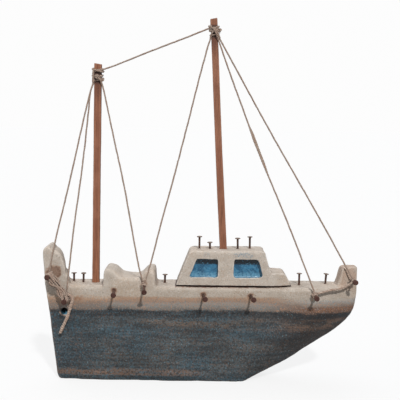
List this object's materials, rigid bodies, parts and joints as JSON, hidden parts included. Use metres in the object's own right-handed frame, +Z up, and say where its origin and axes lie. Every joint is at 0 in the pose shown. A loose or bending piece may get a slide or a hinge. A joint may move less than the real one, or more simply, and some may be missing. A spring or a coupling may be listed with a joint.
{
  "type": "toy boat",
  "caption": "Ornamental ceramic ketch with a hollow clay hull, a separate cabin block, strip-wood masts, standing nails and twine rigging on one side.",
  "frame": {"origin": "on the flat keel face, at the middle of the hull's length and on its centre line", "axes": "+X to the bow, +Z up, and the rigged side is the -Y side"},
  "size_m": [0.3198, 0.0633, 0.3669],
  "materials": {
    "hull_glaze": "matt speckled stoneware glaze, cream above and blue-grey below",
    "cabin_glaze": "matt speckled cream stoneware glaze",
    "window_glaze": "pooled blue glaze, satin",
    "stained_wood": "stained softwood strip, matt",
    "rusty_steel": "rusted steel nail, matt",
    "hemp_twine": "twisted hemp twine, dry"
  },
  "bodies": {
    "boat": {"hull": "hull_glaze", "cabin": "cabin_glaze", "window_glaze": "window_glaze", "mizzen_mast": "stained_wood", "main_mast": "stained_wood", "aft_deck_nails": "rusty_steel", "midship_deck_nail": "rusty_steel", "cabin_roof_nails": "rusty_steel", "foredeck_nails": "rusty_steel", "sternpost_nail": "rusty_steel", "quarter_nail": "rusty_steel", "rail_nails": "rusty_steel", "waist_nail": "rusty_steel", "foreside_nail": "rusty_steel", "bow_nail": "rusty_steel", "triatic_stay": "hemp_twine", "mizzen_backstay": "hemp_twine", "mizzen_quarter_stay": "hemp_twine", "mizzen_forestay": "hemp_twine", "main_backstay": "hemp_twine", "main_forestay": "hemp_twine", "main_bow_stay": "hemp_twine", "mizzen_masthead_lashing": "hemp_twine", "main_masthead_lashing": "hemp_twine", "sternpost_turns": "hemp_twine", "quarter_turns": "hemp_twine", "waist_turns": "hemp_twine", "foreside_turns": "hemp_twine", "bow_turns": "hemp_twine", "stern_lashing": "hemp_twine", "bow_rail_lashing": "hemp_twine"},
    "tail": {"tail_loop": "hemp_twine", "twine_tail": "hemp_twine"}
  },
  "joints": [
    {"name": "tail_swing", "type": "hinge", "parent": "boat", "child": "tail", "pos_m": [-0.13377, -0.0206, 0.08618], "axis": [0.01, -0.9964, -0.0847], "range_deg": [-25, 35]}
  ]
}
